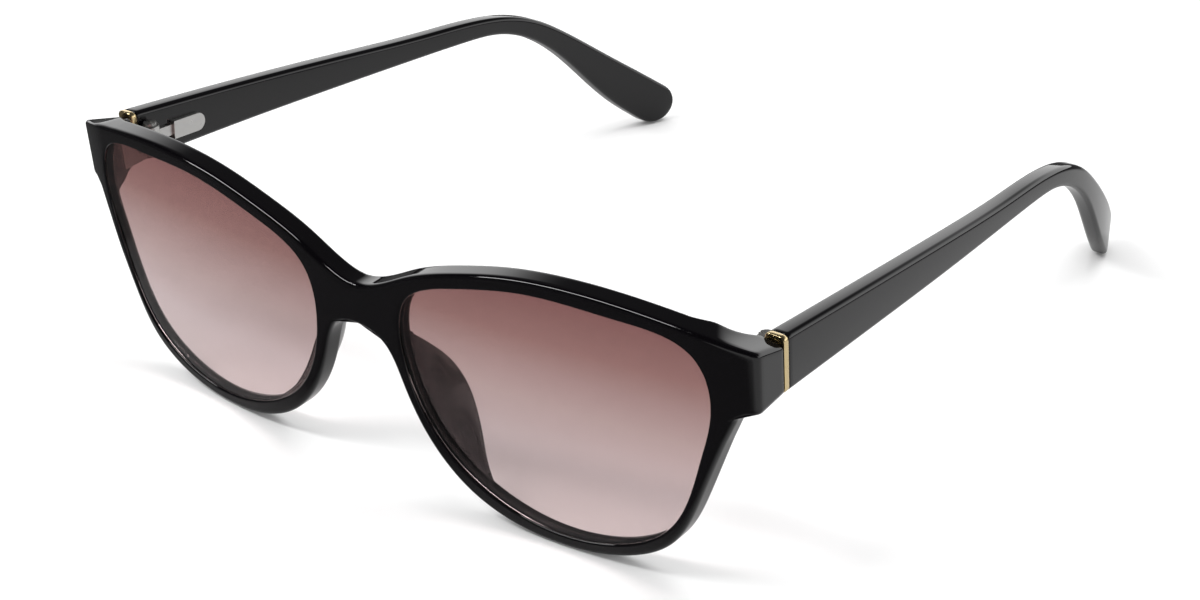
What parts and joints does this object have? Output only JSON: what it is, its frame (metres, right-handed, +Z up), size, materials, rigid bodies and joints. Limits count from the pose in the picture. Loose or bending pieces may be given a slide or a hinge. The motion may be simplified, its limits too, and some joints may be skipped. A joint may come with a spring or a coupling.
{
  "type": "cat eye sunglasses",
  "caption": "Glossy black cat eye sunglasses with gradient lenses, glued nose pads and folding temples on spring hinges",
  "frame": {"origin": "centre of the bounding box on the surface the glasses rest on", "axes": "+X to the wearer's left, +Y back along the temples, +Z up; the lenses face -Y"},
  "size_m": [0.1368, 0.1491, 0.0453],
  "materials": {
    "front_frame": "polished black acetate",
    "lens": "rose brown gradient tint",
    "nose_pad": "polished dark acetate",
    "front_leaf": "nickel silver",
    "hinge_screw": "stainless steel",
    "hinge_slider": "polished nickel silver",
    "guide_pin": "stainless steel",
    "hinge_spring": "spring steel",
    "spring_housing": "polished nickel plate",
    "temple": "polished black acetate",
    "end_trim": "pale gold plate",
    "core_wire": "nickel silver wire"
  },
  "bodies": {
    "front": {"front_frame": "front_frame", "left_lens": "lens", "right_lens": "lens", "left_nose_pad": "nose_pad", "right_nose_pad": "nose_pad", "left_front_leaf": "front_leaf", "right_front_leaf": "front_leaf"},
    "left_pivot": {"left_hinge_screw": "hinge_screw"},
    "left_slider": {"left_hinge_slider": "hinge_slider", "left_guide_pin": "guide_pin"},
    "left_arm": {"left_temple": "temple", "left_end_trim": "end_trim", "left_core_wire": "core_wire", "left_spring_housing": "spring_housing", "left_hinge_spring": "hinge_spring"},
    "right_pivot": {"right_hinge_screw": "hinge_screw"},
    "right_slider": {"right_hinge_slider": "hinge_slider", "right_guide_pin": "guide_pin"},
    "right_arm": {"right_temple": "temple", "right_end_trim": "end_trim", "right_core_wire": "core_wire", "right_spring_housing": "spring_housing", "right_hinge_spring": "hinge_spring"}
  },
  "joints": [
    {"name": "left_flex", "type": "hinge", "parent": "front", "child": "left_pivot", "pos_m": [0.0632, -0.0567, 0.03598], "axis": [0, 0.0821, -0.9966], "range_deg": [0, 8], "stiffness_Nm_per_rad": 0.6},
    {"name": "left_fold", "type": "hinge", "parent": "left_pivot", "child": "left_slider", "pos_m": [0.0632, -0.0567, 0.03598], "axis": [0, -0.0821, 0.9966], "range_deg": [0, 90]},
    {"name": "left_slide", "type": "slide", "parent": "left_slider", "child": "left_arm", "axis": [0, 0.9991, -0.0417], "range_m": [0, 0.00074], "deforming": ["left_hinge_spring"]},
    {"name": "right_flex", "type": "hinge", "parent": "front", "child": "right_pivot", "pos_m": [-0.0632, -0.0567, 0.03598], "axis": [0, -0.0821, 0.9966], "range_deg": [0, 8], "stiffness_Nm_per_rad": 0.6},
    {"name": "right_fold", "type": "hinge", "parent": "right_pivot", "child": "right_slider", "pos_m": [-0.0632, -0.0567, 0.03598], "axis": [0, 0.0821, -0.9966], "range_deg": [0, 75]},
    {"name": "right_slide", "type": "slide", "parent": "right_slider", "child": "right_arm", "axis": [0, 0.9991, -0.0417], "range_m": [0, 0.00074], "deforming": ["right_hinge_spring"]}
  ],
  "couplings": [
    {"joint": "left_slide", "follows": "left_flex", "m_per_rad": 0.0052},
    {"joint": "right_slide", "follows": "right_flex", "m_per_rad": 0.0052}
  ]
}
